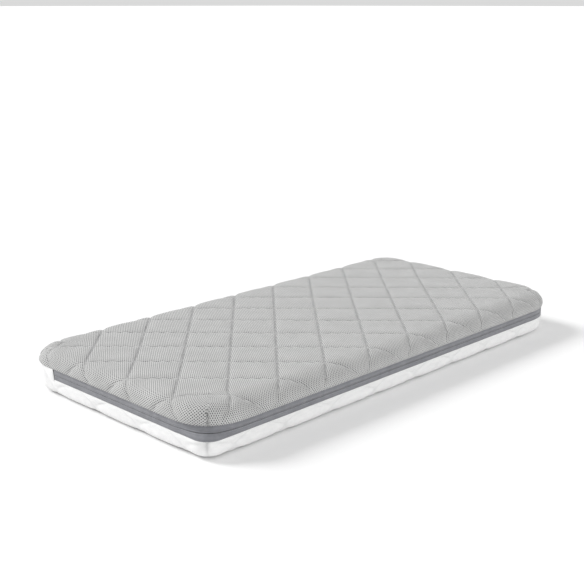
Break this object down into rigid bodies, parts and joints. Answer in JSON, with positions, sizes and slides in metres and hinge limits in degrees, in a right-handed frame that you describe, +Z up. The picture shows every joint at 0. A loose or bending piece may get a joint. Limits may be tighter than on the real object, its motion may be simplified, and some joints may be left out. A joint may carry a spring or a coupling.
{
  "type": "memory foam cot mattress",
  "caption": "Small rectangular foam mattress with rounded corners in a quilted two-part cover whose top half unzips and folds back.",
  "frame": {"origin": "middle of the mattress's underside, on the surface it lies on", "axes": "+X along the length, +Y towards the sewn back edge, +Z up"},
  "size_m": [1.2012, 0.6, 0.1],
  "materials": {
    "grey_spacer_mesh": "matte 3D spacer mesh",
    "white_wadding": "matte polyester wadding",
    "white_nonwoven_lining": "matte nonwoven",
    "white_quilted_knit": "matte knit",
    "memory_foam": "matte open-cell foam",
    "support_foam": "matte open-cell foam",
    "grey_zip_tape": "woven tape",
    "grey_nylon_coil": "satin nylon",
    "dark_bartack_tab": "dense stitching",
    "grey_enamelled_zinc": "enamel",
    "white_satin_label": "satin ribbon, blank"
  },
  "bodies": {
    "base": {"cover_base_knit": "white_quilted_knit", "cover_base_wadding": "white_wadding", "cover_base_lining": "white_nonwoven_lining", "support_foam": "support_foam", "memory_foam_layer": "memory_foam", "zip_tape_lower": "grey_zip_tape", "zip_coil_lower": "grey_nylon_coil", "zip_end_tab_left": "dark_bartack_tab", "zip_end_tab_right": "dark_bartack_tab", "back_seam_binding": "white_nonwoven_lining", "cover_top_mesh_back": "grey_spacer_mesh", "cover_top_wadding_back": "white_wadding", "cover_top_lining_back": "white_nonwoven_lining"},
    "top_flap": {"cover_top_mesh_flap": "grey_spacer_mesh", "cover_top_wadding_flap": "white_wadding", "cover_top_lining_flap": "white_nonwoven_lining", "zip_tape_upper": "grey_zip_tape", "zip_coil_upper": "grey_nylon_coil", "care_label": "white_satin_label"},
    "slider": {"zip_slider": "grey_enamelled_zinc"},
    "pull": {"zip_pull": "grey_enamelled_zinc"}
  },
  "joints": [
    {"name": "top_cover_fold", "type": "hinge", "parent": "base", "child": "top_flap", "pos_m": [0, 0.2, 0.1035], "axis": [-1, 0, 0], "range_deg": [0, 175]},
    {"name": "zip_travel", "type": "slide", "parent": "base", "child": "slider", "axis": [0, -1, 0], "range_m": [0, 0.38]},
    {"name": "pull_swing", "type": "hinge", "parent": "slider", "child": "pull", "pos_m": [0.5999, 0.185, 0.0495], "axis": [0, 0, 1], "range_deg": [0, 175]}
  ]
}
